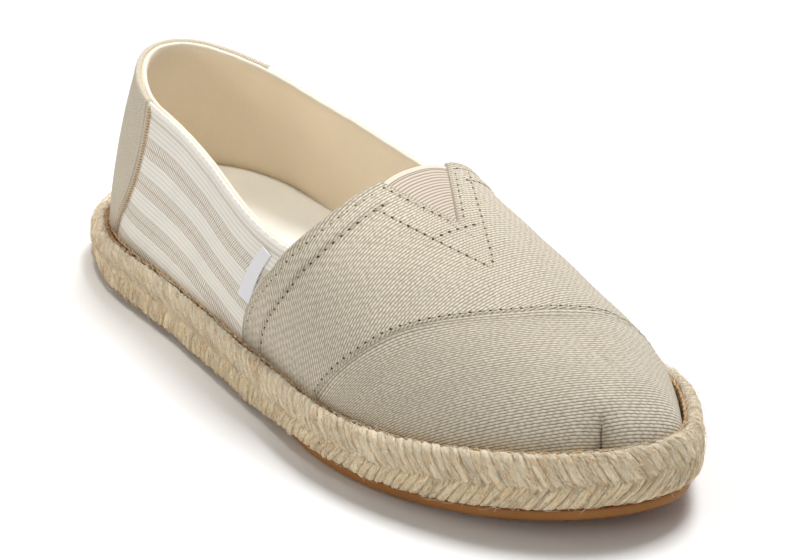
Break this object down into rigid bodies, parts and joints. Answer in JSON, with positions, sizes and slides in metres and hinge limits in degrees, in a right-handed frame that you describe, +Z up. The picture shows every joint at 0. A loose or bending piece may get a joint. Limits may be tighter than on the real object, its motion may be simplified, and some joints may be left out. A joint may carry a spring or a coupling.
{
  "type": "espadrille",
  "caption": "Slip-on espadrille for a right foot: low hollow canvas upper with a V notch and elastic gore, padded footbed, braided jute sole on a thin rubber outsole.",
  "frame": {"origin": "middle of the bounding box on the ground", "axes": "+X from heel to toe, +Y to the inner (big-toe) side, +Z up"},
  "size_m": [0.255, 0.0936, 0.066],
  "materials": {
    "outsole_rubber": "matt brown rubber",
    "jute_braid": "golden braided jute",
    "canvas": "beige plain-weave canvas, quarters in off-white and taupe stripes",
    "elastic": "ribbed beige elastic",
    "footbed": "smooth off-white lining"
  },
  "bodies": {
    "root": {"outsole": "outsole_rubber", "jute_sole": "jute_braid", "upper": "canvas", "elastic_gore": "elastic", "insole": "footbed"}
  },
  "joints": []
}
